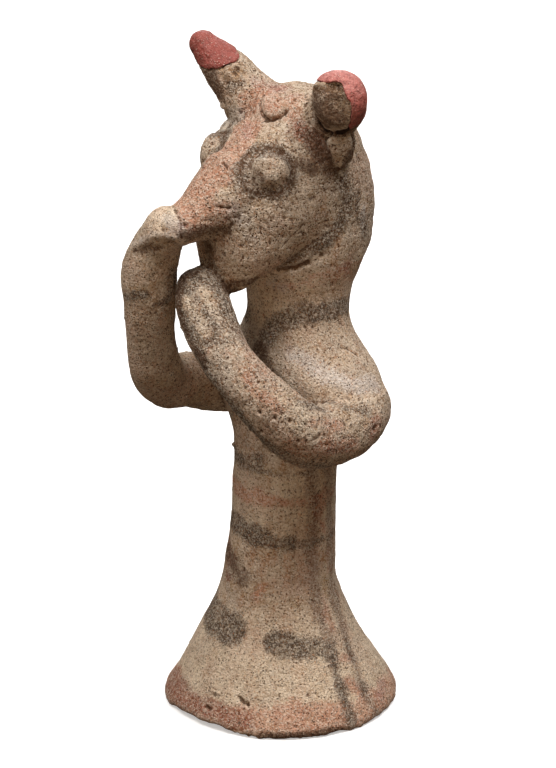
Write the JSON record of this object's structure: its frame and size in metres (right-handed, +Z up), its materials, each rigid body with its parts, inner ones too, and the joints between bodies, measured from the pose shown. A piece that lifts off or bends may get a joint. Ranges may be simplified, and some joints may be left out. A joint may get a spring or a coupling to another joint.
{
  "type": "terracotta masked figure",
  "caption": "Small hand-built terracotta figure on a flared column, holding a horned bull mask to its head with both hands; horn tips made up in red fill.",
  "frame": {"origin": "on the flat underside of the flared foot, close under the axis of the column", "axes": "+Z up along the column; -Y is the figure's front, where the muzzle and the hands are; +X is the figure's left"},
  "size_m": [0.0489, 0.0521, 0.132],
  "materials": {
    "fired_clay": "coarse unglazed buff terracotta with grit, worn red and black painted bands and earth deposits",
    "red_fill": "smooth tinted restoration fill, faintly glossy"
  },
  "bodies": {
    "root": {"figure": "fired_clay", "horn_tip_left": "red_fill", "horn_tip_right": "red_fill"}
  },
  "joints": []
}
